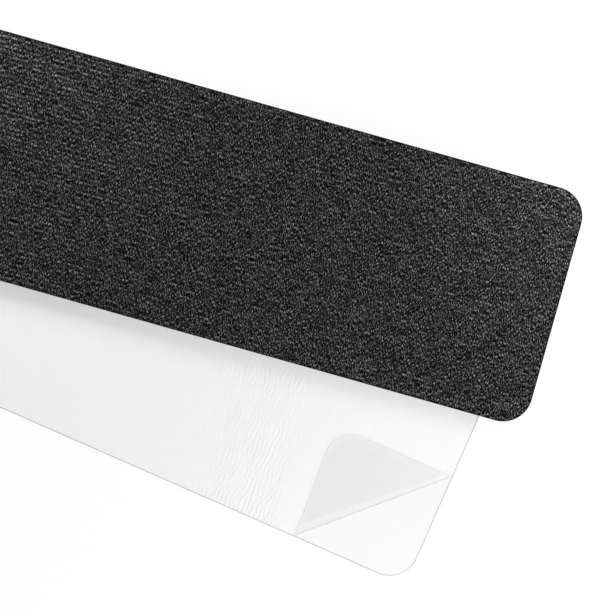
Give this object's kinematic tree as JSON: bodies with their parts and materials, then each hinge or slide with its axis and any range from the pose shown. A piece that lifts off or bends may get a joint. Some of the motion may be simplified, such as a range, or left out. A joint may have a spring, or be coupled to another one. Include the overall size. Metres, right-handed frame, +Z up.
{
  "type": "anti slip stair tread mat",
  "caption": "Self-adhesive ribbed felt stair tread mat with rounded corners, lying fanned out on its clear adhesive film, whose release liner is turned back at one corner.",
  "frame": {"origin": "centre of the adhesive film's underside, the face that sticks to the stair", "axes": "+X along the length of the felt mat, towards the end where the liner is turned back; +Y across it, from the edge that the film shows at towards the other; +Z up"},
  "size_m": [0.8085, 0.3488, 0.0044],
  "materials": {
    "felt": "matt charcoal needle felt, ribbed, with a napped granular surface",
    "clear_film": "clear glossy adhesive film",
    "liner": "translucent satin release liner, lightly wrinkled"
  },
  "bodies": {
    "root": {"tread_mat": "felt", "adhesive_film": "clear_film", "release_liner": "liner"}
  },
  "joints": []
}
